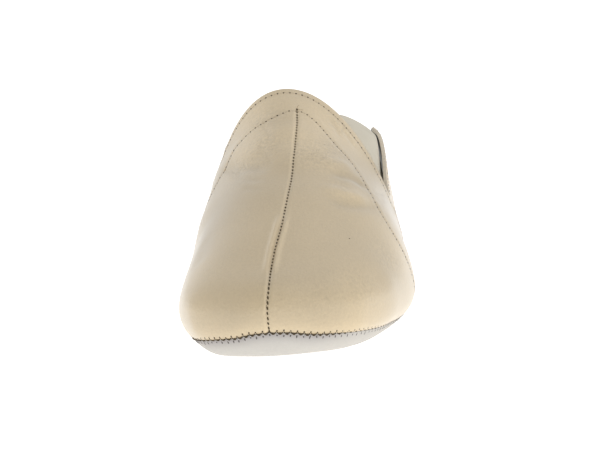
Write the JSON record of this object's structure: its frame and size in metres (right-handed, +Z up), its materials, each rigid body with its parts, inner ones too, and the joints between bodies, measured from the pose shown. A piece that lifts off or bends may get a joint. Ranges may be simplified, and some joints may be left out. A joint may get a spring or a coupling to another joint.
{
  "type": "slipper",
  "caption": "Soft leather house slipper for the left foot, with a high rounded vamp, elastic gussets beside the instep and a thin turned-up leather sole.",
  "frame": {"origin": "middle of the shoe's bounding box, on the floor under the sole", "axes": "+Y from the toe to the heel, +X to the wearer's left, which is the outer side of this left shoe, +Z up"},
  "size_m": [0.0843, 0.2356, 0.0843],
  "materials": {
    "upper_leather": "smooth beige nappa with a soft gloss",
    "sole_leather": "pale grey matt leather",
    "sock_lining": "plain woven lining",
    "gusset_elastic": "pale woven elastic"
  },
  "bodies": {
    "root": {"upper": "upper_leather", "sole": "sole_leather", "insole": "sock_lining", "gusset_outer_side": "gusset_elastic", "gusset_inner_side": "gusset_elastic"}
  },
  "joints": []
}
